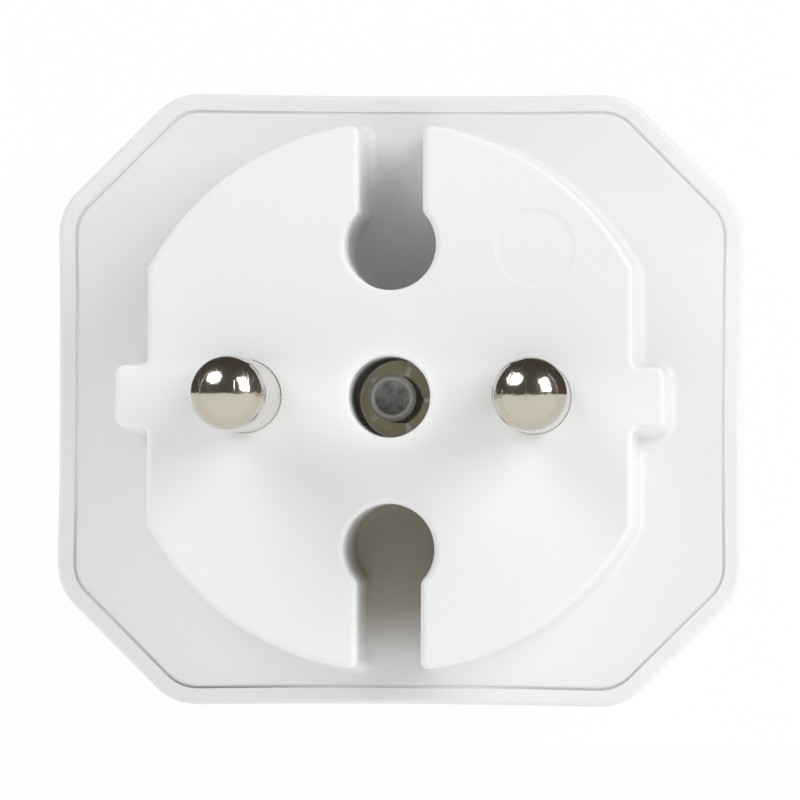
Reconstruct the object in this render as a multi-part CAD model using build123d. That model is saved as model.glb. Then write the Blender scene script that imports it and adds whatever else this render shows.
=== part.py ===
from build123d import *
import math
import os

# Double socket adapter. A round two-pin plug goes into a recessed wall socket, and two flat plugs go
# into the front. All sizes are in millimetres. The adapter rests on its front face, at Z = 0, with the
# plug and its pins pointing up (+Z), the pins side by side along X and the two sockets side by side along Y.

# Housing, measured over the rim on the plug side. Its margins are from the ends and the sides of the
# recesses and from the round of the plug boss to the outside.
housing_end_margin = 5.4
housing_socket_margin = 3.2
housing_boss_margin = 2.85
corner_cut = 8.0
corner_round = 4.0
inner_corner_round = 0.5
side_sink = 0.15
housing_draft = 0.7
front_edge_round = 1.6
rim_edge_round = 0.35
shell_wall = 2.4
front_wall = 2.4
rim_width = 1.1

# Back cover that sits inside the rim
cover_thickness = 2.4
cover_gap = 0.12
cover_sink = 0.1
cover_edge_round = 0.25

# Plug boss that stands on the back cover
boss_diameter = 36.0
boss_flats = 31.8
boss_length = 17.5
boss_draft = 1.5
boss_wall = 2.2
face_wall = 2.6
face_edge_round = 0.4
boss_root_round = 0.5
tab_reach = 2.1
tab_height = 4.0
tab_corner_round = 0.6
rib_thickness = 1.8
post_diameter = 6.0

# Keyhole slots for the earth clips and the earth pin of the wall socket
earth_offset = 10.0
earth_hole_diameter = 6.0
earth_slot_width = 4.25
slot_draft = 0.2
slot_junction_round = 0.6
slot_mouth_round = 0.5
slot_wall = 1.8

# Shallow round marks that mould inserts leave on the plug face
insert_mark_diameter = 5.4
insert_mark_depth = 0.06
insert_mark_place = (9.5, 9.8)
gate_mark_diameter = 7.0
gate_mark_depth = 0.03
gate_mark_place = (-9.6, -9.5)
mark_slope_width = 0.3

# Plug pins
pin_spacing = 19.0
pin_diameter = 4.8
pin_length = 19.0
pin_gap = 0.02
pin_shank_diameter = 5.15
pin_shoulder_sink = 0.05
pin_collar_diameter = 6.6
pin_collar_height = 1.5
pin_tail_diameter = 3.0
pin_tail_head_diameter = 4.2
pin_tail_head_height = 0.8
pin_tail_head_rim = 0.32
pin_tail_crown_diameter = 2.8
pin_tower_diameter = 9.2

# Sockets on the front, each a flat six-sided recess with two entry holes
socket_pitch = 21.0
recess_width = 35.9
recess_height = 14.3
recess_corner_cut = 4.7
recess_corner_round = 0.6
recess_mouth_round = 0.5
recess_depth = 10.0
recess_draft = 0.5
recess_floor = 2.5
recess_wall = 1.6
entry_spacing = 19.0
entry_diameter = 5.0
entry_lead_in = 0.5

# Room between the recess floors and the back cover, for the pins of the two plugs and the contacts
contact_room = 19.0

# Bus strips
strip_width = 7.0
strip_thickness = 0.8
strip_corner_round = 1.75
strip_overhang = 3.6
strip_clearance = 0.2

# Contact clips, folded from strip
clip_thickness = 0.5
clip_width = 6.0
clip_span = 7.0
clip_throat = 3.5
clip_throat_height = 2.4
clip_mouth_flare = 1.0
clip_bend_radius = 0.9
clip_slit_width = 0.8
clip_slit_share = 0.6
clip_floor_gap = 0.6

# Rivets that join the clips to the strips
rivet_shank_diameter = 2.0
rivet_head_diameter = 3.8
rivet_head_height = 0.8
rivet_foot_diameter = 3.4
rivet_foot_height = 0.4
rivet_gap = 0.03
rivet_head_room = 0.15

# Chambers that hold the clips
chamber_gap = 0.4
chamber_wall = 1.2

# Closing pin and its push-on washer
closing_pin_diameter = 3.15
closing_pin_gap = 0.08
closing_pin_sink = 4.6
closing_pin_end_chamfer = 0.2
closing_pin_dish_diameter = 2.3
closing_pin_dish_depth = 0.15
closing_head_diameter = 4.6
closing_head_height = 1.5
closing_head_rim = 0.6
closing_head_sink = 0.3
closing_head_gap = 0.15
closing_boss_wall = 2.0
centre_hole_diameter = 5.35
centre_hole_edge_round = 0.25
centre_tube_wall = 1.9
washer_thickness = 0.35
washer_gap = 0.1
washer_tooth_length = 0.6
washer_tooth_rise = 0.45
washer_tooth_count = 5
washer_slit_width = 0.35

# Reach of a cut past the surface that it opens, and of a search for edges beside a known place
overcut = 1.0
near = 0.1

# Sizes over all
housing_width = recess_width + 2 * housing_end_margin
breadth_over_sockets = socket_pitch + recess_height + 2 * housing_socket_margin
breadth_over_boss = boss_diameter + 2 * housing_boss_margin
housing_breadth = max(breadth_over_sockets, breadth_over_boss)
tab_span = boss_flats + 2 * tab_reach

# Levels along Z
recess_floor_top = recess_depth + recess_floor
cover_bottom = recess_floor_top + contact_room
cover_top = cover_bottom + cover_thickness
rim_top = cover_top + cover_sink
plug_face = cover_top + boss_length
pin_tip = plug_face + pin_length
strip_bottom = cover_bottom - strip_thickness
clip_base_bottom = strip_bottom - clip_thickness

# Places shared by pieces that line up
sides = {"left": -1, "right": 1}
rows = {"upper": 1, "lower": -1}
pin_x = pin_spacing / 2
entry_x = entry_spacing / 2
socket_y = socket_pitch / 2
contact_places = [(side * entry_x, row * socket_y) for side in sides.values() for row in rows.values()]


def housing_outline(inset=0.0):
    """The rectangle with cut corners and slightly sunk sides, moved inwards by inset on every side."""
    half_width = housing_width / 2 - inset
    half_breadth = housing_breadth / 2 - inset
    cut = corner_cut - inset * (2 - math.sqrt(2))
    flat_x = half_width - cut
    flat_y = half_breadth - cut
    quarter = [(half_width, flat_y), (flat_x, half_breadth)]
    corners = [(x * i, y * j) for i, j in ((1, 1), (-1, 1), (-1, -1), (1, -1)) for x, y in quarter]
    corners[2:4] = corners[3:1:-1]
    corners[6:8] = corners[7:5:-1]
    top = ThreePointArc(corners[1], (0, half_breadth - side_sink), corners[2])
    left = ThreePointArc(corners[3], (side_sink - half_width, 0), corners[4])
    bottom = ThreePointArc(corners[5], (0, side_sink - half_breadth), corners[6])
    right = ThreePointArc(corners[7], (half_width - side_sink, 0), corners[0])
    cuts = [Line(corners[i], corners[(i + 1) % 8]) for i in (0, 2, 4, 6)]
    outline = make_face([cuts[0], top, cuts[1], left, cuts[2], bottom, cuts[3], right])
    return fillet(outline.vertices(), max(corner_round - inset, inner_corner_round))


def boss_outline(grow=0.0, tabs=True):
    """The round with two side flats, with or without the guide tab on each flat."""
    flats = Rectangle(boss_flats + 2 * grow, boss_diameter + 2 * grow)
    outline = Circle(boss_diameter / 2 + grow) & flats
    if tabs:
        outline += Rectangle(tab_span + 2 * grow, tab_height + 2 * grow)
        tab_corners = outline.vertices().filter_by(lambda v: abs(v.Y) < tab_height / 2 + grow + near)
        outline = fillet(tab_corners, tab_corner_round)
    return outline


def keyhole_outline(row, grow=0.0):
    """The earth hole with its slot, running out past the edge of the boss."""
    reach = boss_diameter
    round_part = Pos(0, row * earth_offset) * Circle(earth_hole_diameter / 2 + grow)
    slot_part = Pos(0, row * (earth_offset + reach / 2)) * Rectangle(earth_slot_width + 2 * grow, reach)
    outline = round_part + slot_part
    junctions = outline.vertices().filter_by(lambda v: abs(v.Y) < earth_offset + earth_hole_diameter)
    return fillet(junctions, slot_junction_round)


def recess_outline(grow=0.0):
    """The flat six-sided outline of a two-pin plug, with short upright ends."""
    half_width = recess_width / 2 + grow
    half_height = recess_height / 2 + grow
    cut = recess_corner_cut + grow * (2 - math.sqrt(2))
    outline = chamfer(Rectangle(2 * half_width, 2 * half_height).vertices(), cut)
    return fillet(outline.vertices(), recess_corner_round + grow)


def sunk_mark(diameter, depth, place):
    """A shallow round dent with a sloping edge, as wide as its diameter where it meets the plug face."""
    radius = diameter / 2
    return Pos(*place, plug_face) * Cone(radius - mark_slope_width, radius + mark_slope_width, 2 * depth)


def edges_at(solid, height):
    """The edges of a solid that lie flat at one height."""
    return solid.edges().filter_by(
        lambda e: abs(e.bounding_box().min.Z - height) < 1e-3 and abs(e.bounding_box().max.Z - height) < 1e-3
    )


def edges_within(edges, x, y, reach):
    """Those edges whose middle lies within reach of the point x, y."""
    return edges.filter_by(lambda e: math.hypot((e @ 0.5).X - x, (e @ 0.5).Y - y) < reach)


def dome_arc(radius, base, crown):
    """Half the outline of a round dome, from its edge at one height to its crown on the axis at another."""
    rise = crown - base
    sphere = (radius**2 + rise**2) / (2 * rise)
    half_turn = math.asin(radius / abs(sphere)) / 2
    middle = (abs(sphere) * math.sin(half_turn), crown - sphere * (1 - math.cos(half_turn)))
    return ThreePointArc((radius, base), middle, (0, crown))


def make_front_shell():
    """Front moulding: walls, two recesses, four contact chambers and the boss for the closing pin."""
    outer = Pos(0, 0, rim_top) * extrude(housing_outline(), -rim_top, taper=housing_draft)
    outer = fillet(edges_at(outer, 0), front_edge_round)
    outer = fillet(edges_at(outer, rim_top), rim_edge_round)
    cavity = Pos(0, 0, rim_top) * extrude(
        housing_outline(shell_wall), front_wall - rim_top, taper=housing_draft
    )
    seat = Pos(0, 0, cover_bottom) * extrude(housing_outline(rim_width), rim_top - cover_bottom + overcut)
    shell = outer - cavity - seat

    closing_bore = closing_pin_diameter / 2 + closing_pin_gap
    closing_counterbore = closing_head_diameter / 2 + closing_head_gap
    shell += extrude(Circle(closing_bore + closing_boss_wall), cover_bottom)

    chamber = Rectangle(clip_span + 2 * chamber_gap, clip_width + 2 * chamber_gap)
    chamber_outside = offset(chamber, chamber_wall)
    chamber_height = strip_bottom - strip_clearance - recess_floor_top
    for row in rows.values():
        shell += Pos(0, row * socket_y) * extrude(recess_outline(recess_wall), recess_floor_top)
        for side in sides.values():
            place = Pos(side * entry_x, row * socket_y, recess_floor_top)
            shell += place * extrude(chamber_outside - chamber, chamber_height)

    for row in rows.values():
        mouth = Pos(0, row * socket_y) * recess_outline()
        shell -= extrude(mouth, recess_depth, taper=recess_draft)
        for side in sides.values():
            place = Pos(side * entry_x, row * socket_y, recess_depth)
            shell -= place * extrude(Circle(entry_diameter / 2), recess_floor)
            lead_in = Cone(entry_diameter / 2 + entry_lead_in, entry_diameter / 2, entry_lead_in)
            shell -= place * Pos(0, 0, entry_lead_in / 2) * lead_in
    mouth_x = recess_width / 2 + near
    mouth_y = socket_y + recess_height / 2 + near
    mouth_edges = edges_at(shell, 0).filter_by(lambda e: abs((e @ 0.5).X) < mouth_x)
    mouth_edges = mouth_edges.filter_by(lambda e: abs((e @ 0.5).Y) < mouth_y)
    shell = fillet(mouth_edges, recess_mouth_round)

    shell -= extrude(Circle(closing_bore), cover_bottom)
    shell -= extrude(Circle(closing_counterbore), closing_head_sink + closing_head_height)
    return shell


def make_boss():
    """The solid plug boss: drafted outline, two keyholes open at the side, and rounded edges."""
    boss = Pos(0, 0, plug_face) * extrude(boss_outline(), -boss_length, taper=-boss_draft)
    for row in rows.values():
        boss -= Pos(0, 0, plug_face) * extrude(keyhole_outline(row), -boss_length, taper=slot_draft)
    mouth_y = boss_diameter / 2 - earth_slot_width / 2
    upright = boss.edges().filter_by(lambda e: e.bounding_box().size.Z > boss_length / 2)
    mouths = upright.filter_by(lambda e: abs((e @ 0.5).Y) > mouth_y)
    boss = fillet(mouths, slot_mouth_round)
    return fillet(edges_at(boss, plug_face), face_edge_round)


def make_plug_body():
    """Back moulding: cover and cored plug boss, with towers for the pins and posts that back up the clips."""
    cover = Pos(0, 0, cover_bottom) * extrude(housing_outline(rim_width + cover_gap), cover_thickness)
    cover = fillet(edges_at(cover, cover_top), cover_edge_round)
    body = cover + make_boss()
    boss_spread = boss_length * math.tan(math.radians(boss_draft))
    roots = edges_within(edges_at(body, cover_top), 0, 0, boss_diameter / 2 + boss_spread + near)
    body = fillet(roots, boss_root_round)

    core_height = cover_thickness + boss_length - face_wall
    core = extrude(boss_outline(boss_spread - boss_wall, tabs=False), core_height, taper=boss_draft)
    core -= extrude(Rectangle(boss_flats, rib_thickness), core_height)
    core -= extrude(Rectangle(rib_thickness, boss_diameter), core_height)
    core -= extrude(Circle(centre_hole_diameter / 2 + centre_tube_wall), core_height)
    for side in sides.values():
        core -= Pos(side * pin_x, 0) * extrude(Circle(pin_tower_diameter / 2), core_height)
    for row in rows.values():
        core -= extrude(keyhole_outline(row, slot_wall), core_height)
    post = extrude(Circle(post_diameter / 2), core_height)
    head_pocket = Circle(rivet_head_diameter / 2 + rivet_head_room)
    head_pocket = extrude(head_pocket, rivet_head_height + rivet_head_room)
    for x, y in contact_places:
        core -= Pos(x, y) * post
        core += Pos(x, y) * head_pocket
    body -= Pos(0, 0, cover_bottom) * core

    body -= Pos(0, 0, cover_top) * extrude(Circle(centre_hole_diameter / 2), boss_length)
    closing_bore = closing_pin_diameter / 2 + closing_pin_gap
    body -= Pos(0, 0, cover_bottom) * extrude(Circle(closing_bore), cover_thickness)
    rim = edges_within(edges_at(body, plug_face), 0, 0, centre_hole_diameter)
    body = fillet(rim, centre_hole_edge_round)
    for side in sides.values():
        place = Pos(side * pin_x, 0, cover_bottom)
        body -= place * extrude(Circle(pin_shank_diameter / 2 + pin_gap), cover_thickness + boss_length)
        body -= place * extrude(Circle(pin_collar_diameter / 2 + pin_gap), pin_collar_height)

    body -= sunk_mark(insert_mark_diameter, insert_mark_depth, insert_mark_place)
    body -= sunk_mark(gate_mark_diameter, gate_mark_depth, gate_mark_place)
    return body


def make_pin():
    """A turned pin: round end, thicker shank in its tower, collar below and a tail peened over the strip."""
    radius = pin_diameter / 2
    shank = pin_shank_diameter / 2
    collar = pin_collar_diameter / 2
    tail = pin_tail_diameter / 2
    tail_head = pin_tail_head_diameter / 2
    tail_crown = pin_tail_crown_diameter / 2
    collar_top = cover_bottom + pin_collar_height
    shoulder = plug_face - pin_shoulder_sink
    head_bottom = strip_bottom - pin_tail_head_height
    side_line = Polyline(
        (0, head_bottom),
        (tail_crown, head_bottom),
        (tail_head, strip_bottom - pin_tail_head_rim),
        (tail_head, strip_bottom),
        (tail, strip_bottom),
        (tail, cover_bottom),
        (collar, cover_bottom),
        (collar, collar_top),
        (shank, collar_top),
        (shank, shoulder),
        (radius, shoulder),
        (radius, pin_tip - radius),
    )
    tip = CenterArc((0, pin_tip - radius), radius, 0, 90)
    axis_line = Line((0, pin_tip), (0, head_bottom))
    profile = make_face([side_line, tip, axis_line])
    return revolve(Plane.XZ * profile, Axis.Z)


def make_bus_strip(side):
    """A flat brass strip under the cover, from one socket to the other, held by the tail of its pin."""
    half_length = socket_y + strip_overhang
    outline = Rectangle(strip_width, 2 * half_length)
    outline = fillet(outline.vertices(), strip_corner_round)
    outline -= Circle(pin_tail_diameter / 2 + rivet_gap)
    for row in rows.values():
        outline -= Pos(entry_x - pin_x, row * socket_y) * Circle(rivet_shank_diameter / 2 + rivet_gap)
    strip = extrude(outline, strip_thickness)
    if side < 0:
        strip = mirror(strip, Plane.YZ)
    return Pos(side * pin_x, 0, strip_bottom) * strip


def make_clip():
    """A folded spring clip: a flat base under the strip and two slit leaves that close to a throat."""
    mouth = recess_floor_top + clip_floor_gap
    base = clip_base_bottom + clip_thickness / 2
    shoulder_x = (clip_span - clip_thickness) / 2
    throat_x = (clip_throat + clip_thickness) / 2
    throat = mouth + clip_throat_height
    right_leaf = [(shoulder_x, base), (throat_x, throat), (throat_x + clip_mouth_flare, mouth)]
    left_leaf = [(-x, z) for x, z in reversed(right_leaf)]
    middle = Plane.XZ * FilletPolyline(*left_leaf, *right_leaf, radius=clip_bend_radius)
    section = Plane(middle @ 0, x_dir=(0, 1, 0), z_dir=middle % 0) * Rectangle(clip_width, clip_thickness)
    clip = sweep(section, path=middle)
    clip -= Pos(0, 0, clip_base_bottom) * Cylinder(rivet_shank_diameter / 2 + rivet_gap, 2 * overcut)
    slit_height = clip_slit_share * (base - mouth)
    slit = Box(2 * clip_span, clip_slit_width, 2 * slit_height)
    return clip - Pos(0, 0, mouth) * slit


def make_rivet():
    """A small rivet through strip and clip, domed above the strip and flat under the clip."""
    shank = rivet_shank_diameter / 2
    head = rivet_head_diameter / 2
    foot = rivet_foot_diameter / 2
    foot_bottom = clip_base_bottom - rivet_foot_height
    head_top = cover_bottom + rivet_head_height
    side_line = Polyline(
        (0, foot_bottom),
        (foot, foot_bottom),
        (foot, clip_base_bottom),
        (shank, clip_base_bottom),
        (shank, cover_bottom),
        (head, cover_bottom),
    )
    dome = dome_arc(head, cover_bottom, head_top)
    axis_line = Line((0, head_top), (0, foot_bottom))
    return revolve(Plane.XZ * make_face([side_line, dome, axis_line]), Axis.Z)


def make_closing_pin():
    """The plain pin that holds the mouldings together: round head in front, dished end in the centre hole."""
    shank = closing_pin_diameter / 2
    head = closing_head_diameter / 2
    dish = closing_pin_dish_diameter / 2
    head_seat = closing_head_sink + closing_head_height
    end = plug_face - closing_pin_sink
    head_rim = head_seat - closing_head_rim
    dome = dome_arc(head, head_rim, closing_head_sink)
    side_line = Polyline(
        (head, head_rim),
        (head, head_seat),
        (shank, head_seat),
        (shank, end - closing_pin_end_chamfer),
        (shank - closing_pin_end_chamfer, end),
        (dish, end),
        (0, end - closing_pin_dish_depth),
    )
    axis_line = Line((0, end - closing_pin_dish_depth), (0, closing_head_sink))
    return revolve(Plane.XZ * make_face([dome, side_line, axis_line]), Axis.Z)


def make_lock_washer():
    """A push-on spring washer at the bottom of the centre hole, with teeth that bite the closing pin."""
    rim = centre_hole_diameter / 2 - washer_gap
    bite = closing_pin_diameter / 2
    root = bite + washer_tooth_length
    flat_top = cover_top + washer_thickness
    profile = Polyline(
        (rim, cover_top),
        (rim, flat_top),
        (root, flat_top),
        (bite, flat_top + washer_tooth_rise),
        (bite, cover_top + washer_tooth_rise),
        (root, cover_top),
        close=True,
    )
    washer = revolve(Plane.XZ * make_face(profile), Axis.Z)
    slit_length = washer_tooth_length + washer_slit_width / 2
    slit_height = washer_thickness + washer_tooth_rise + overcut
    slit = Box(slit_length + near, washer_slit_width, 2 * slit_height)
    slit = Pos(bite + (slit_length - near) / 2, 0, cover_top) * slit
    for number in range(washer_tooth_count):
        washer -= Rot(0, 0, number * 360 / washer_tooth_count) * slit
    return washer


def write_part(shape, name):
    """One file for each node."""
    export_step(shape, f"parts/{name}.step")


os.makedirs("parts", exist_ok=True)
write_part(make_front_shell(), "front_shell")
write_part(make_plug_body(), "plug_body")
write_part(make_closing_pin(), "closing_pin")
write_part(make_lock_washer(), "lock_washer")

pin = make_pin()
clip = make_clip()
rivet = make_rivet()
rivets = []
for side_name, side in sides.items():
    write_part(Pos(side * pin_x, 0) * pin, f"{side_name}_pin")
    write_part(make_bus_strip(side), f"{side_name}_bus_strip")
    for row_name, row in rows.items():
        place = Pos(side * entry_x, row * socket_y)
        write_part(place * clip, f"{row_name}_{side_name}_clip")
        rivets.append(place * rivet)
write_part(Compound(children=rivets), "clip_rivets")
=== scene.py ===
import math

import bmesh
import bpy
from mathutils import Matrix, Vector


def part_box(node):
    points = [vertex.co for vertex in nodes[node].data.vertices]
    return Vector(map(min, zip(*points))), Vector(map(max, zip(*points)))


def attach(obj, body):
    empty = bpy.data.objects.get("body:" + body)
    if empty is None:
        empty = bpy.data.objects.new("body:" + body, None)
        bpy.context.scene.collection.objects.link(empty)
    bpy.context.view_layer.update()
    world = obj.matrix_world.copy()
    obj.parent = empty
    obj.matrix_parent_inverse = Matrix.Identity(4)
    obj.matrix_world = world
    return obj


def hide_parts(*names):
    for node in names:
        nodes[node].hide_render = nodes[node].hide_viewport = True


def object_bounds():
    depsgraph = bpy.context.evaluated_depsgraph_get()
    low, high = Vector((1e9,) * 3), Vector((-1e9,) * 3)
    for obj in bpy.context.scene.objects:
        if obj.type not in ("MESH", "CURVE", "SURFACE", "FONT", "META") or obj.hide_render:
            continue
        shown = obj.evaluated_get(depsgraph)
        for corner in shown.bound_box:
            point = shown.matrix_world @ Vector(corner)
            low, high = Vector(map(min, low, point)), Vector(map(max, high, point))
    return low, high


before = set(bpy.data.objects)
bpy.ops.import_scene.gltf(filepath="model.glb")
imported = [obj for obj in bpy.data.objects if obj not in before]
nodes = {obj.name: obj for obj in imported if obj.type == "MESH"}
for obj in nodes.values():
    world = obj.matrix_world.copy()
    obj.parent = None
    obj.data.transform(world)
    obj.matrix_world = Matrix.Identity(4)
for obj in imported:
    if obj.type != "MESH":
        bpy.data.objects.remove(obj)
cad_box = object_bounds()

# Studio. The adapter stands on its sockets on a white table, and the camera looks down at its pins. A
# round soft lamp stands to the upper left, a square one to the right, and a narrow one over the middle
# hole. The bright pins also mirror a dark room behind the lamps and a pale bench top on the near side.
camera_data = bpy.data.cameras.new("camera")
camera_data.sensor_width = 36.0
camera_data.lens = 302.7
camera_data.clip_start = 0.01
camera_data.clip_end = 20.0
camera = bpy.data.objects.new("camera", camera_data)
camera.location = (0.01761, -0.00524, 0.4917)
camera.rotation_mode = "ZYX"
camera.rotation_euler = (math.radians(0.655), math.radians(2.199), math.radians(0.264))
bpy.context.collection.objects.link(camera)
bpy.context.scene.camera = camera
bpy.context.scene.view_settings.view_transform = "Standard"


def new_material(name):
    """An empty node material. Returns it with its tree and its output node."""
    material = bpy.data.materials.new(name)
    material.use_nodes = True
    tree = material.node_tree
    tree.nodes.clear()
    output = tree.nodes.new("ShaderNodeOutputMaterial")
    return material, tree, output


def combined(tree, operation, first, second):
    """The result of a math node on two values."""
    both = tree.nodes.new("ShaderNodeMath")
    both.operation = operation
    tree.links.new(first, both.inputs[0])
    tree.links.new(second, both.inputs[1])
    return both.outputs[0]


def mixed(tree, share, first, second):
    """A mix of two shaders, by the share of the second."""
    mix = tree.nodes.new("ShaderNodeMixShader")
    tree.links.new(share, mix.inputs["Fac"])
    tree.links.new(first, mix.inputs[1])
    tree.links.new(second, mix.inputs[2])
    return mix.outputs["Shader"]


def glow_of(tree, colour):
    """Even light that a surface gives off by itself."""
    glow = tree.nodes.new("ShaderNodeEmission")
    glow.inputs["Color"].default_value = (*colour, 1.0)
    return glow.outputs["Emission"]


def seen_directly(tree):
    """1 for what the camera sees, by itself or in metal or glass, and 0 for what only lights the scene."""
    path = tree.nodes.new("ShaderNodeLightPath")
    mirrored = combined(tree, "MAXIMUM", path.outputs["Is Glossy Ray"], path.outputs["Is Transmission Ray"])
    return combined(tree, "MAXIMUM", path.outputs["Is Camera Ray"], mirrored)


def flat_card(name, corners, material):
    """A flat card of the studio, given by its corners in order."""
    mesh = bpy.data.meshes.new(name)
    mesh.from_pydata(corners, [], [tuple(range(len(corners)))])
    mesh.materials.append(material)
    card = bpy.data.objects.new(name, mesh)
    bpy.context.collection.objects.link(card)
    return card


# The table lies a hair under the adapter's front face, so that the two never share one plane. The
# camera sees it nearly plain white, and what is left of its paper keeps the shadow.
table_half = 2.5
table_height = -0.00002
table_plain = 0.95
table_white, tree, output = new_material("table_white")
paper = tree.nodes.new("ShaderNodeBsdfDiffuse")
paper.inputs["Color"].default_value = (0.9, 0.9, 0.9, 1.0)
plain = tree.nodes.new("ShaderNodeMath")
plain.operation = "MULTIPLY"
plain.inputs[1].default_value = table_plain
tree.links.new(seen_directly(tree), plain.inputs[0])
white_glow = glow_of(tree, (1.0, 1.0, 1.0))
tree.links.new(mixed(tree, plain.outputs[0], paper.outputs["BSDF"], white_glow), output.inputs["Surface"])
table_corners = [(-1, -1), (1, -1), (1, 1), (-1, 1)]
flat_card("table", [(x * table_half, y * table_half, table_height) for x, y in table_corners], table_white)

world = bpy.data.worlds.new("studio_air")
world.use_nodes = True
bpy.context.scene.world = world
tree = world.node_tree
tree.nodes.clear()
output = tree.nodes.new("ShaderNodeOutputWorld")
air = tree.nodes.new("ShaderNodeBackground")
air.inputs["Color"].default_value = (0.975, 0.987, 0.995, 1.0)
air.inputs["Strength"].default_value = 0.27
backdrop = tree.nodes.new("ShaderNodeBackground")
backdrop.inputs["Strength"].default_value = 1.0
shown_air = mixed(tree, seen_directly(tree), air.outputs["Background"], backdrop.outputs["Background"])
tree.links.new(shown_air, output.inputs["Surface"])

# Each soft lamp has a shape, a direction from the pins' heads, a size in metres and a power in watts.
pin_head = Vector((0.0, 0.0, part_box("left_pin")[1].z))
lamp_distance = 0.6
lamps = {
    "left_lamp": ("ELLIPSE", (-0.615, 0.671, 0.413), (0.52, 0.39), 1.4),
    "right_lamp": ("RECTANGLE", (0.747, 0.432, 0.503), (0.33, 0.40), 2.1),
}
for name, (shape, direction, size, power) in lamps.items():
    lamp_data = bpy.data.lights.new(name, "AREA")
    lamp_data.shape = shape
    lamp_data.size, lamp_data.size_y = size
    lamp_data.energy = power
    lamp_data.color = (0.985, 0.992, 1.0)
    lamp = bpy.data.objects.new(name, lamp_data)
    towards = Vector(direction).normalized()
    across = Vector((0.0, 1.0, 0.0)).cross(towards).normalized()
    upright = towards.cross(across)
    facing = Matrix((across, upright, towards)).transposed().to_4x4()
    lamp.matrix_world = Matrix.Translation(pin_head + towards * lamp_distance) @ facing
    lamp.visible_camera = False
    bpy.context.collection.objects.link(lamp)

hole_lamp_height = 0.24
hole_lamp_data = bpy.data.lights.new("hole_lamp", "SPOT")
hole_lamp_data.energy = 1.3
hole_lamp_data.color = (1.0, 0.96, 0.86)
hole_lamp_data.spot_size = math.radians(1.0)
hole_lamp_data.spot_blend = 0.3
hole_lamp_data.shadow_soft_size = 0.002
hole_lamp = bpy.data.objects.new("hole_lamp", hole_lamp_data)
hole_lamp.location = (0.0, 0.0, pin_head.z + hole_lamp_height)
hole_lamp.visible_glossy = False
bpy.context.collection.objects.link(hole_lamp)


def glowing(name, colour):
    """A card's material that gives off its own even light."""
    material, tree, output = new_material(name)
    tree.links.new(glow_of(tree, colour), output.inputs["Surface"])
    return material


def mirrored_card(name, corners, material):
    """A card for reflections alone: it neither shows by itself nor shades anything."""
    card = flat_card(name, corners, material)
    card.visible_camera = False
    card.visible_diffuse = False
    card.visible_transmission = False
    card.visible_volume_scatter = False
    card.visible_shadow = False
    return card


def upright_card(name, start, end, bottom, top, material):
    """A mirrored card that stands on the table or hangs over it, between two points seen from above."""
    corners = [(*start, bottom), (*end, bottom), (*end, top), (*start, top)]
    return mirrored_card(name, corners, material)


room_dark = glowing("room_dark", (0.062, 0.052, 0.041))
bench_pale = glowing("bench_pale", (0.86, 0.85, 0.80))
bench_shaded = glowing("bench_shaded", (0.79, 0.78, 0.735))
bench_bounce = glowing("bench_bounce", (0.98, 0.97, 0.95))
room_reach = 6.0
room_y = 0.8
room_side_x = 0.9
skirt_gap = 0.006
skirt_half = cad_box[1][0] + skirt_gap
skirt_y = cad_box[1][1] + skirt_gap
bench_gap = 0.003
bench_y = cad_box[0][1] - bench_gap
bench_reach = 0.52
bounce_gap = 0.001
near_top = pin_head.z - bench_gap
wall_start, wall_end = (-room_reach, room_y), (room_reach, room_y)
bench_start, bench_end = (-room_reach, bench_y), (room_reach, bench_y)
upright_card("room_wall", wall_start, wall_end, 0, room_reach, room_dark)
upright_card("room_skirt", (-skirt_half, skirt_y), (skirt_half, skirt_y), 0, near_top, room_dark)
upright_card("room_over_bench", bench_start, bench_end, bench_reach, room_reach, room_dark)
ceiling = [(*corner, room_reach) for corner in (bench_start, bench_end, wall_end, wall_start)]
mirrored_card("room_ceiling", ceiling, room_dark)
for side in (-1, 1):
    wall_x = side * room_side_x
    skirt_x = side * skirt_half
    upright_card("room_side", (wall_x, bench_y), (wall_x, room_y), 0, room_reach, room_dark)
    upright_card("side_skirt", (skirt_x, 0), (skirt_x, skirt_y), 0, near_top, room_dark)
    upright_card("side_bench", (skirt_x, bench_y), (skirt_x, 0), 0, near_top, bench_shaded)
upright_card("bench", bench_start, bench_end, near_top, bench_reach, bench_pale)
upright_card("shaded_bench", bench_start, bench_end, 0, near_top, bench_shaded)

# One more card lights the near side of the adapter, as a pale bench does, and isn't mirrored.
bounce_y = bench_y - bounce_gap
bounce_ends = (-room_reach, bounce_y), (room_reach, bounce_y)
bounce = upright_card("bounce", *bounce_ends, 0, bench_reach, bench_bounce)
bounce.visible_glossy = False
bounce.visible_diffuse = True


# Plug pins. Two brass pins, turned with round ends, plated with nickel and polished bright. They sit in
# the towers of the plug body, peened over the strips, and have fine scratches from wall sockets.
def object_place(tree):
    """Places on the piece itself, in metres."""
    return tree.nodes.new("ShaderNodeTexCoord").outputs["Object"]


def noise_at(tree, place, scale, detail=2.0, roughness=0.5, stretch=None):
    """Soft random grain, with an optional stretch along the axes."""
    if stretch:
        mapping = tree.nodes.new("ShaderNodeMapping")
        mapping.inputs["Scale"].default_value = stretch
        tree.links.new(place, mapping.inputs["Vector"])
        place = mapping.outputs["Vector"]
    noise = tree.nodes.new("ShaderNodeTexNoise")
    noise.inputs["Scale"].default_value = scale
    noise.inputs["Detail"].default_value = detail
    noise.inputs["Roughness"].default_value = roughness
    tree.links.new(place, noise.inputs["Vector"])
    return noise.outputs["Fac"]


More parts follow.
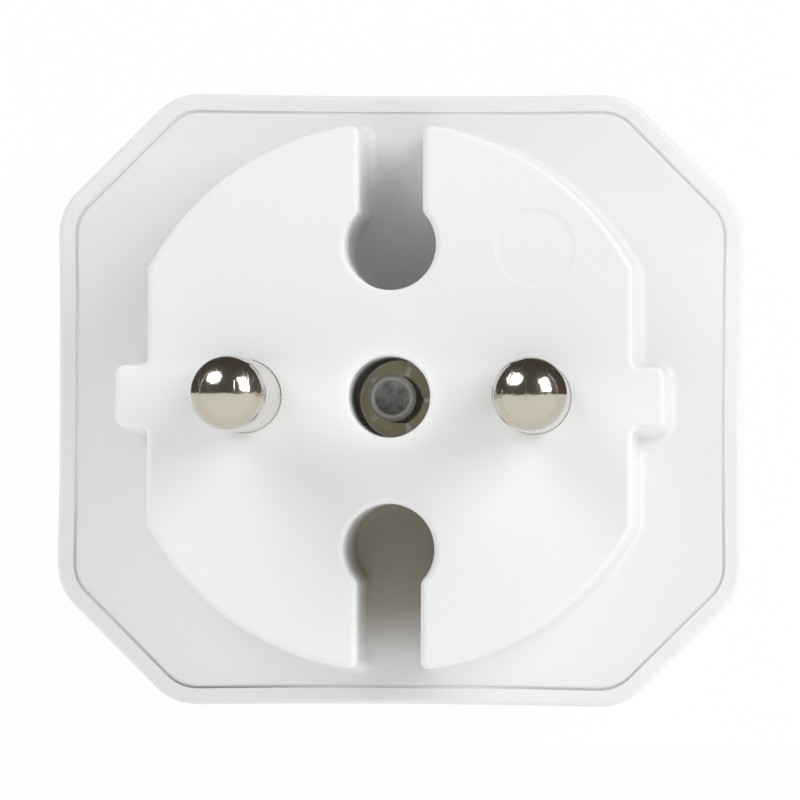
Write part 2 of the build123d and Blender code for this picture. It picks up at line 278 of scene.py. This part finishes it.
def spread(tree, value, low, high, start=0.0, end=1.0):
    """Turns a value that runs from start to end into one that runs from low to high."""
    span = tree.nodes.new("ShaderNodeMapRange")
    span.inputs["From Min"].default_value = start
    span.inputs["From Max"].default_value = end
    span.inputs["To Min"].default_value = low
    span.inputs["To Max"].default_value = high
    tree.links.new(value, span.inputs["Value"])
    return span.outputs["Result"]


def two_tones(tree, value, first, second):
    """A colour between two, each given as a plain tone or as the output of another node."""
    tones = tree.nodes.new("ShaderNodeMix")
    tones.data_type = "RGBA"
    tree.links.new(value, tones.inputs[0])
    # A mix of colours has them in its inputs 6 and 7, and its result in output 2.
    for tone, colour_input in ((first, tones.inputs[6]), (second, tones.inputs[7])):
        if isinstance(tone, tuple):
            colour_input.default_value = (*tone, 1.0)
        else:
            tree.links.new(tone, colour_input)
    return tones.outputs[2]


def bump_on(tree, height, depth, strength, under=None):
    """A bump of a real depth in metres, on top of another bump if one is given."""
    bump = tree.nodes.new("ShaderNodeBump")
    bump.inputs["Distance"].default_value = depth
    bump.inputs["Strength"].default_value = strength
    tree.links.new(height, bump.inputs["Height"])
    if under:
        tree.links.new(under, bump.inputs["Normal"])
    return bump.outputs["Normal"]


def finished(tree, output, colour, roughness, normal, metallic=0.0):
    """The surface shader, fed by its colour, roughness and bump."""
    shader = tree.nodes.new("ShaderNodeBsdfPrincipled")
    shader.inputs["Metallic"].default_value = metallic
    tree.links.new(colour, shader.inputs["Base Color"])
    tree.links.new(roughness, shader.inputs["Roughness"])
    tree.links.new(normal, shader.inputs["Normal"])
    tree.links.new(shader.outputs["BSDF"], output.inputs["Surface"])
    return shader


def scratches(tree, place, scale, turn, width):
    """Thin lines in one direction, broken up by noise: 1 in a scratch and 0 elsewhere."""
    mapping = tree.nodes.new("ShaderNodeMapping")
    mapping.inputs["Rotation"].default_value = turn
    mapping.inputs["Scale"].default_value = (1.0, 0.05, 0.3)
    tree.links.new(place, mapping.inputs["Vector"])
    cells = tree.nodes.new("ShaderNodeTexVoronoi")
    cells.feature = "DISTANCE_TO_EDGE"
    cells.inputs["Scale"].default_value = scale
    tree.links.new(mapping.outputs["Vector"], cells.inputs["Vector"])
    line = spread(tree, cells.outputs["Distance"], 1.0, 0.0, 0.0, width)
    broken = spread(tree, noise_at(tree, place, scale * 0.5), 0.0, 1.0, 0.55, 0.7)
    return combined(tree, "MULTIPLY", line, broken)


mark_depth = 0.000016
pin_nickel, tree, output = new_material("pin_nickel")
place = object_place(tree)
wear = noise_at(tree, place, 420.0, 3.0)
speckle = noise_at(tree, place, 5200.0, 2.0, 0.6)
colour = two_tones(tree, wear, (0.675, 0.645, 0.58), (0.62, 0.59, 0.525))
first_scratches = scratches(tree, place, 1500.0, (0.3, 0.2, 0.6), 0.07)
second_scratches = scratches(tree, place, 1200.0, (0.1, -0.4, -0.9), 0.07)
roughness = spread(tree, speckle, 0.05, 0.16, 0.35, 0.75)
bump = bump_on(tree, speckle, mark_depth, 0.5)
bump = bump_on(tree, first_scratches, -mark_depth, 0.8, bump)
bump = bump_on(tree, second_scratches, -mark_depth, 0.8, bump)
polish = finished(tree, output, colour, roughness, bump, 1.0)
haze = finished(tree, output, colour, spread(tree, wear, 0.34, 0.46), bump, 1.0)
hazed = spread(tree, combined(tree, "MAXIMUM", first_scratches, second_scratches), 0.13, 0.6)
plating = mixed(tree, hazed, polish.outputs["BSDF"], haze.outputs["BSDF"])
tree.links.new(plating, output.inputs["Surface"])
for name in ("left_pin", "right_pin"):
    nodes[name].material_slots[0].material = pin_nickel


# Plug body. One white moulding: the flat back cover with the round plug boss on it, cored from inside.
# Its skin is satin from the mould, with faint flow marks and a few scuffs from use. Painted shade greys it
# a little from the face down to the cover, and darkens it to a dull olive deep in the lower keyhole.
def moulded_plastic(name, bright, shaded):
    """Satin white plastic: fine mould grain, slow flow marks and faint scuffs."""
    material, tree, output = new_material(name)
    place = object_place(tree)
    flow = noise_at(tree, place, 55.0, 3.0, 0.55)
    grain = noise_at(tree, place, 3600.0, 3.0, 0.6)
    waviness = noise_at(tree, place, 150.0, 1.0)
    colour = two_tones(tree, spread(tree, flow, 0.0, 1.0, 0.3, 0.7), bright, shaded)
    roughness = spread(tree, noise_at(tree, place, 420.0, 4.0, 0.65), 0.40, 0.56, 0.3, 0.7)
    bump = bump_on(tree, grain, 0.000010, 0.4)
    bump = bump_on(tree, waviness, 0.00003, 0.25, bump)
    bump = bump_on(tree, scratches(tree, place, 260.0, (0.2, 0.1, 0.5), 0.008), -0.000008, 0.3, bump)
    finished(tree, output, colour, roughness, bump)
    return material


def from_axis(tree, place, middle_y=0.0):
    """How far a place is from an upright axis through the middle line of the adapter, in metres."""
    flat_place = tree.nodes.new("ShaderNodeVectorMath")
    flat_place.operation = "MULTIPLY_ADD"
    flat_place.inputs[1].default_value = (1.0, 1.0, 0.0)
    flat_place.inputs[2].default_value = (0.0, -middle_y, 0.0)
    tree.links.new(place, flat_place.inputs[0])
    distance = tree.nodes.new("ShaderNodeVectorMath")
    distance.operation = "LENGTH"
    tree.links.new(flat_place.outputs["Vector"], distance.inputs[0])
    return distance.outputs["Value"]


pin_length = 0.019
boss_length = 0.0175
plug_face = cad_box[1][2] - pin_length
cover_top = plug_face - boss_length
# Painted shade: the plastic turns greyer from a millimetre under the face down to the cover, as shade in
# the recess.
unshaded_depth = 0.001
shade_grey_tone = (0.838, 0.845, 0.853)
# Painted shade: deep in the lower keyhole the plastic turns a dull olive, most towards the cover and near
# the keyhole's middle.
keyhole_shade_tone = (0.57, 0.535, 0.47)
keyhole_shade_middle = -0.0095
keyhole_shade_reach = 0.0047
keyhole_shade_fade = 0.003
plug_plastic = moulded_plastic("plug_plastic", (0.900, 0.909, 0.920), (0.880, 0.889, 0.900))
tree = plug_plastic.node_tree
shader = tree.nodes["Principled BSDF"]
moulded_colour = shader.inputs["Base Color"].links[0].from_socket
place = object_place(tree)
height = tree.nodes.new("ShaderNodeSeparateXYZ")
tree.links.new(place, height.inputs["Vector"])
raised = spread(tree, height.outputs["Z"], 0.0, 1.0, cover_top, plug_face - unshaded_depth)
shaded_low = two_tones(tree, raised, shade_grey_tone, moulded_colour)
within = spread(tree, from_axis(tree, place, keyhole_shade_middle), 1.0, 0.0, keyhole_shade_reach, keyhole_shade_reach + keyhole_shade_fade)
deep = spread(tree, height.outputs["Z"], 0.0, 1.0, plug_face, cover_top)
keyhole_shaded = two_tones(tree, combined(tree, "MULTIPLY", within, deep), shaded_low, keyhole_shade_tone)
tree.links.new(keyhole_shaded, shader.inputs["Base Color"])
nodes["plug_body"].material_slots[0].material = plug_plastic


# Pin flash. A thin ring of the plug's plastic round each pin, left by the mould over the pin's sunk
# shoulder. On it the plug face runs up to the pin, but for a fine joint.
def closed_loop_mesh(name, sections):
    """A closed band: each section is a ring of corners across it, and the last section joins the first."""
    solid = bmesh.new()
    rings = [[solid.verts.new(corner) for corner in section] for section in sections]
    for ring, following in zip(rings, rings[1:] + rings[:1]):
        for side in range(len(ring)):
            beside = (side + 1) % len(ring)
            solid.faces.new((ring[side], ring[beside], following[beside], following[side]))
    bmesh.ops.recalc_face_normals(solid, faces=solid.faces)
    mesh = bpy.data.meshes.new(name)
    solid.to_mesh(mesh)
    solid.free()
    mesh.materials.append(plug_plastic)
    return mesh


def plug_flash(name, sections):
    """Thin plastic that the mould left on the plug body."""
    flash = bpy.data.objects.new(name, closed_loop_mesh(name, sections))
    bpy.context.collection.objects.link(flash)
    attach(flash, "root")


pin_radius = 0.0024
foot_joint = 0.00003
flash_reach = 0.000225
flash_depth = 0.000048
flash_rise = 0.000002
flash_steps = 96
flash_profile = [
    (pin_radius + foot_joint, plug_face - flash_depth),
    (pin_radius + flash_reach, plug_face - flash_depth),
    (pin_radius + flash_reach, plug_face + flash_rise),
    (pin_radius + foot_joint, plug_face + flash_rise),
]
for name in ("left_pin", "right_pin"):
    pin_low, pin_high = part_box(name)
    pin_x = (pin_low.x + pin_high.x) / 2
    sections = []
    for step in range(flash_steps):
        angle = 2 * math.pi * step / flash_steps
        x, y = math.cos(angle), math.sin(angle)
        sections.append([(pin_x + radius * x, radius * y, height) for radius, height in flash_profile])
    plug_flash(name + "_flash", sections)


# Joint flash. Plastic of the cover, squeezed up in its joint with the rim of the housing. It fills the
# joint nearly to the top along the sides, and lies deeper at the corners and below, where the joint shows.
housing_half = (0.02335, 0.02085)
corner_cut = 0.008
corner_round = 0.004
corner_turn = math.pi / 4
corner_steps = 8
side_steps = 40
side_sink = 0.00015


def housing_line(inset):
    """Points round the housing's outline, moved inwards: cut and rounded corners, slightly sunk sides."""
    half_x, half_y = (half - inset for half in housing_half)
    cut = corner_cut - inset * (2 - math.sqrt(2))
    flat_x, flat_y = half_x - cut, half_y - cut
    quarter = [Vector((half_x, flat_y)), Vector((flat_x, half_y))]
    turned = [Vector((-flat_x, half_y)), Vector((-half_x, flat_y))]
    corners = quarter + turned + [-corner for corner in quarter] + [-corner for corner in turned]
    radius = corner_round - inset
    tangent = radius * math.tan(corner_turn / 2)
    line = []
    for before, corner, after in zip(corners[-1:] + corners[:-1], corners, corners[1:] + corners[:1]):
        back = (before - corner).normalized()
        onward = (after - corner).normalized()
        middle = corner + (back + onward).normalized() * radius / math.cos(corner_turn / 2)
        start = corner + back * tangent - middle
        for step in range(corner_steps + 1):
            angle = corner_turn * step / corner_steps
            line.append(middle + Matrix.Rotation(angle, 2) @ start)
        end = after - onward * tangent
        line += [line[-1].lerp(end, step / side_steps) for step in range(1, side_steps)]
    for point in line:
        along_x = max(0.0, 1 - (point.x / flat_x) ** 2)
        along_y = max(0.0, 1 - (point.y / flat_y) ** 2)
        point.x -= math.copysign(side_sink * along_y, point.x)
        point.y -= math.copysign(side_sink * along_x, point.y)
    return line


def ramp(value, start, length):
    """0 up to the start, 1 from its length on, and a straight rise between."""
    return min(1.0, max(0.0, (value - start) / length))


least_depth = 0.000004
corner_depth = 0.00009
corner_more = 0.00012
below_depth = 0.00007
below_more = 0.00009
corner_starts = 0.2
corner_length = 0.25
below_starts = 0.75
below_length = 0.2
left_middle = 0.5
left_slope = 0.35


def joint_depth(point):
    """How far the flash lies under the cover's top, deepest towards the lower left corner."""
    across = point.x / housing_half[0]
    upward = point.y / housing_half[1]
    at_corner = ramp(min(abs(across), abs(upward)), corner_starts, corner_length)
    below = ramp(-upward, below_starts, below_length)
    lower_left = ramp(left_middle - left_slope * (across + upward), 0.0, 1.0)
    at_corner *= corner_depth + corner_more * lower_left
    below *= below_depth + below_more * lower_left
    return least_depth + at_corner + below


joint_outside = 0.00106
joint_inside = 0.0015
root_depth = 0.0005
joint_root = cover_top - root_depth
sections = []
for outside, inside in zip(housing_line(joint_outside), housing_line(joint_inside)):
    top = cover_top - joint_depth(outside)
    sections.append([(*outside, joint_root), (*inside, joint_root), (*inside, top), (*outside, top)])
plug_flash("joint_flash", sections)


# Bus strips. Two strips of brass, stamped from rolled sheet, each riveted to the tail of one pin. They
# carry the current to the upper and the lower socket.
def rolled_metal(name, bright, dull, rough, stretch):
    """Rolled sheet metal: long fine grain, tarnish in soft patches."""
    material, tree, output = new_material(name)
    place = object_place(tree)
    grain = noise_at(tree, place, 2600.0, 3.0, 0.6, stretch)
    tarnish = spread(tree, noise_at(tree, place, 240.0, 3.0), 0.0, 1.0, 0.4, 0.75)
    colour = two_tones(tree, tarnish, bright, dull)
    roughness = spread(tree, grain, rough - 0.07, rough + 0.09, 0.3, 0.7)
    bump = bump_on(tree, grain, 0.000006, 0.4)
    finished(tree, output, colour, roughness, bump, 1.0)
    return material


strip_brass = rolled_metal("strip_brass", (0.80, 0.60, 0.28), (0.60, 0.42, 0.19), 0.30, (1.0, 0.06, 1.0))
for name in ("left_bus_strip", "right_bus_strip"):
    nodes[name].material_slots[0].material = strip_brass

# Contact clips. Four clips, folded from strip of spring bronze, with slit leaves that close to a throat.
# Each grips one pin of the plugs put in.
clip_bronze = rolled_metal("clip_bronze", (0.70, 0.46, 0.27), (0.52, 0.33, 0.19), 0.27, (1.0, 1.0, 0.06))
for name in ("upper_left_clip", "upper_right_clip", "lower_left_clip", "lower_right_clip"):
    nodes[name].material_slots[0].material = clip_bronze


# Clip rivets. Four small brass rivets, with a peened dome above the strip and a flat foot in the clip.
# All four are alike, but the hammer met each of them at its own turn.
def turned_mesh(name, profile, steps):
    """A solid turned about Z. Its profile lists radius and height, and starts and ends on the axis."""
    solid = bmesh.new()
    rings = []
    turns = [2 * math.pi * step / steps for step in range(steps)]
    for radius, height in profile[1:-1]:
        corners = [(radius * math.cos(turn), radius * math.sin(turn), height) for turn in turns]
        rings.append([solid.verts.new(corner) for corner in corners])
    bottom = solid.verts.new((0.0, 0.0, profile[0][1]))
    top = solid.verts.new((0.0, 0.0, profile[-1][1]))
    for step in range(steps):
        following = (step + 1) % steps
        solid.faces.new((bottom, rings[0][following], rings[0][step]))
        for lower, upper in zip(rings, rings[1:]):
            solid.faces.new((lower[step], lower[following], upper[following], upper[step]))
        solid.faces.new((top, rings[-1][step], rings[-1][following]))
    mesh = bpy.data.meshes.new(name)
    solid.to_mesh(mesh)
    solid.free()
    return mesh


def growing_tree(name, sizes):
    """A geometry tree with named inputs. Returns it, its input and output nodes and its inputs' keys."""
    tree = bpy.data.node_groups.new(name, "GeometryNodeTree")
    tree.interface.new_socket("Geometry", in_out="INPUT", socket_type="NodeSocketGeometry")
    keys = {}
    for size, kind in sizes.items():
        keys[size] = tree.interface.new_socket(size, in_out="INPUT", socket_type=kind).identifier
    tree.interface.new_socket("Geometry", in_out="OUTPUT", socket_type="NodeSocketGeometry")
    return tree, tree.nodes.new("NodeGroupInput"), tree.nodes.new("NodeGroupOutput"), keys


def grown_piece(name, mesh, tree, values):
    """Runs a geometry tree on a mesh and keeps the result as a plain mesh."""
    piece = bpy.data.objects.new(name, mesh)
    bpy.context.collection.objects.link(piece)
    modifier = piece.modifiers.new("grown", "NODES")
    modifier.node_group = tree
    for key, value in values.items():
        modifier[key] = value
    shown = piece.evaluated_get(bpy.context.evaluated_depsgraph_get())
    grown = bpy.data.meshes.new_from_object(shown)
    piece.modifiers.clear()
    piece.data = grown
    grown.name = name
    return piece


def smooth_but_for_edges(piece, degrees):
    """Smooth shading, with the edges that turn more than so many degrees kept sharp."""
    piece.data.shade_smooth()
    solid = bmesh.new()
    solid.from_mesh(piece.data)
    for edge in solid.edges:
        edge.smooth = edge.calc_face_angle(0.0) < math.radians(degrees)
    solid.to_mesh(piece.data)
    solid.free()


rivets_low, rivets_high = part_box("clip_rivets")
strip_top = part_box("left_bus_strip")[1].z
rivet_head = 0.0019
rivet_foot = 0.0017
rivet_shank = 0.001
rivet_foot_height = 0.0004
rivet_edge = 0.00008
rivet_steps = 36
rivet_crease = 40
dome_steps = 8
dome_rise = rivets_high.z - strip_top
dome = []
for step in range(dome_steps):
    angle = math.pi / 2 * step / dome_steps
    dome.append((rivet_head * math.cos(angle), strip_top + dome_rise * math.sin(angle)))
foot_top = rivets_low.z + rivet_foot_height
rivet_profile = [
    (0.0, rivets_low.z),
    (rivet_foot - rivet_edge, rivets_low.z),
    (rivet_foot, rivets_low.z + rivet_edge),
    (rivet_foot, foot_top),
    (rivet_shank, foot_top),
    (rivet_shank, strip_top),
    *dome,
    (0.0, rivets_high.z),
]
tree, given, result, keys = growing_tree(
    "rivets_on_strips",
    {"Pin Spacing": "NodeSocketFloat", "Socket Pitch": "NodeSocketFloat", "Material": "NodeSocketMaterial"},
)
places = tree.nodes.new("GeometryNodeMeshGrid")
places.inputs["Vertices X"].default_value = 2
places.inputs["Vertices Y"].default_value = 2
tree.links.new(given.outputs["Pin Spacing"], places.inputs["Size X"])
tree.links.new(given.outputs["Socket Pitch"], places.inputs["Size Y"])
# A random number has its greatest value in input 3 and its result in output 1.
turn = tree.nodes.new("FunctionNodeRandomValue")
turn.data_type = "FLOAT"
turn.inputs["Seed"].default_value = 7
turn.inputs[3].default_value = 2 * math.pi
turns = tree.nodes.new("ShaderNodeCombineXYZ")
tree.links.new(turn.outputs[1], turns.inputs["Z"])
copies = tree.nodes.new("GeometryNodeInstanceOnPoints")
tree.links.new(places.outputs["Mesh"], copies.inputs["Points"])
tree.links.new(given.outputs["Geometry"], copies.inputs["Instance"])
tree.links.new(turns.outputs["Vector"], copies.inputs["Rotation"])
realized = tree.nodes.new("GeometryNodeRealizeInstances")
tree.links.new(copies.outputs["Instances"], realized.inputs["Geometry"])
dressed = tree.nodes.new("GeometryNodeSetMaterial")
tree.links.new(realized.outputs["Geometry"], dressed.inputs["Geometry"])
tree.links.new(given.outputs["Material"], dressed.inputs["Material"])
tree.links.new(dressed.outputs["Geometry"], result.inputs["Geometry"])
rivets = grown_piece("peened_rivets", turned_mesh("one_rivet", rivet_profile, rivet_steps), tree, {
    keys["Pin Spacing"]: rivets_high.x - rivets_low.x - 2 * rivet_head,
    keys["Socket Pitch"]: rivets_high.y - rivets_low.y - 2 * rivet_head,
    keys["Material"]: strip_brass,
})
smooth_but_for_edges(rivets, rivet_crease)
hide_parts("clip_rivets")
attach(rivets, "root")

# Front shell. The second white moulding: walls, rim and the front with its two sockets. The plug body
# sits inside its rim, with a fine joint line all round.
housing_plastic = moulded_plastic("housing_plastic", (0.862, 0.870, 0.882), (0.842, 0.850, 0.862))
nodes["front_shell"].material_slots[0].material = housing_plastic

# Closing pin. A plain steel pin with a dull zinc plating, pushed through both mouldings from the front.
# Its end was cut and left rough, and is dark with a brighter rim.
rim_starts = 0.00108
rim_full = 0.00124
closing_steel, tree, output = new_material("closing_steel")
place = object_place(tree)
rim = spread(tree, from_axis(tree, place), 0.0, 1.0, rim_starts, rim_full)
rough_cut = noise_at(tree, place, 1500.0, 5.0, 0.65)
swirl = tree.nodes.new("ShaderNodeTexWave")
swirl.wave_type = "RINGS"
swirl.rings_direction = "Z"
swirl.inputs["Scale"].default_value = 420.0
swirl.inputs["Distortion"].default_value = 9.0
swirl.inputs["Detail"].default_value = 3.0
tree.links.new(place, swirl.inputs["Vector"])
torn = spread(tree, rough_cut, 0.0, 1.0, 0.35, 0.65)
cut_end = two_tones(tree, torn, (0.25, 0.25, 0.247), (0.11, 0.11, 0.11))
colour = two_tones(tree, rim, cut_end, (0.44, 0.43, 0.40))
roughness = spread(tree, noise_at(tree, place, 4000.0, 3.0), 0.34, 0.55, 0.3, 0.7)
bump = bump_on(tree, rough_cut, 0.00003, 0.45)
bump = bump_on(tree, swirl.outputs["Fac"], 0.00002, 0.4, bump)
finished(tree, output, colour, roughness, bump, 0.75)
nodes["closing_pin"].material_slots[0].material = closing_steel

# Lock washer. A push-on washer of oiled spring steel, dark olive, that bites the closing pin at the
# bottom of the middle hole and so holds the two mouldings together.
washer_steel, tree, output = new_material("washer_steel")
place = object_place(tree)
oil = noise_at(tree, place, 900.0, 4.0, 0.6)
colour = two_tones(tree, oil, (0.80, 0.76, 0.60), (0.62, 0.58, 0.44))
roughness = spread(tree, oil, 0.42, 0.62, 0.3, 0.7)
bump = bump_on(tree, oil, 0.000012, 0.4)
finished(tree, output, colour, roughness, bump, 0.15)
nodes["lock_washer"].material_slots[0].material = washer_steel
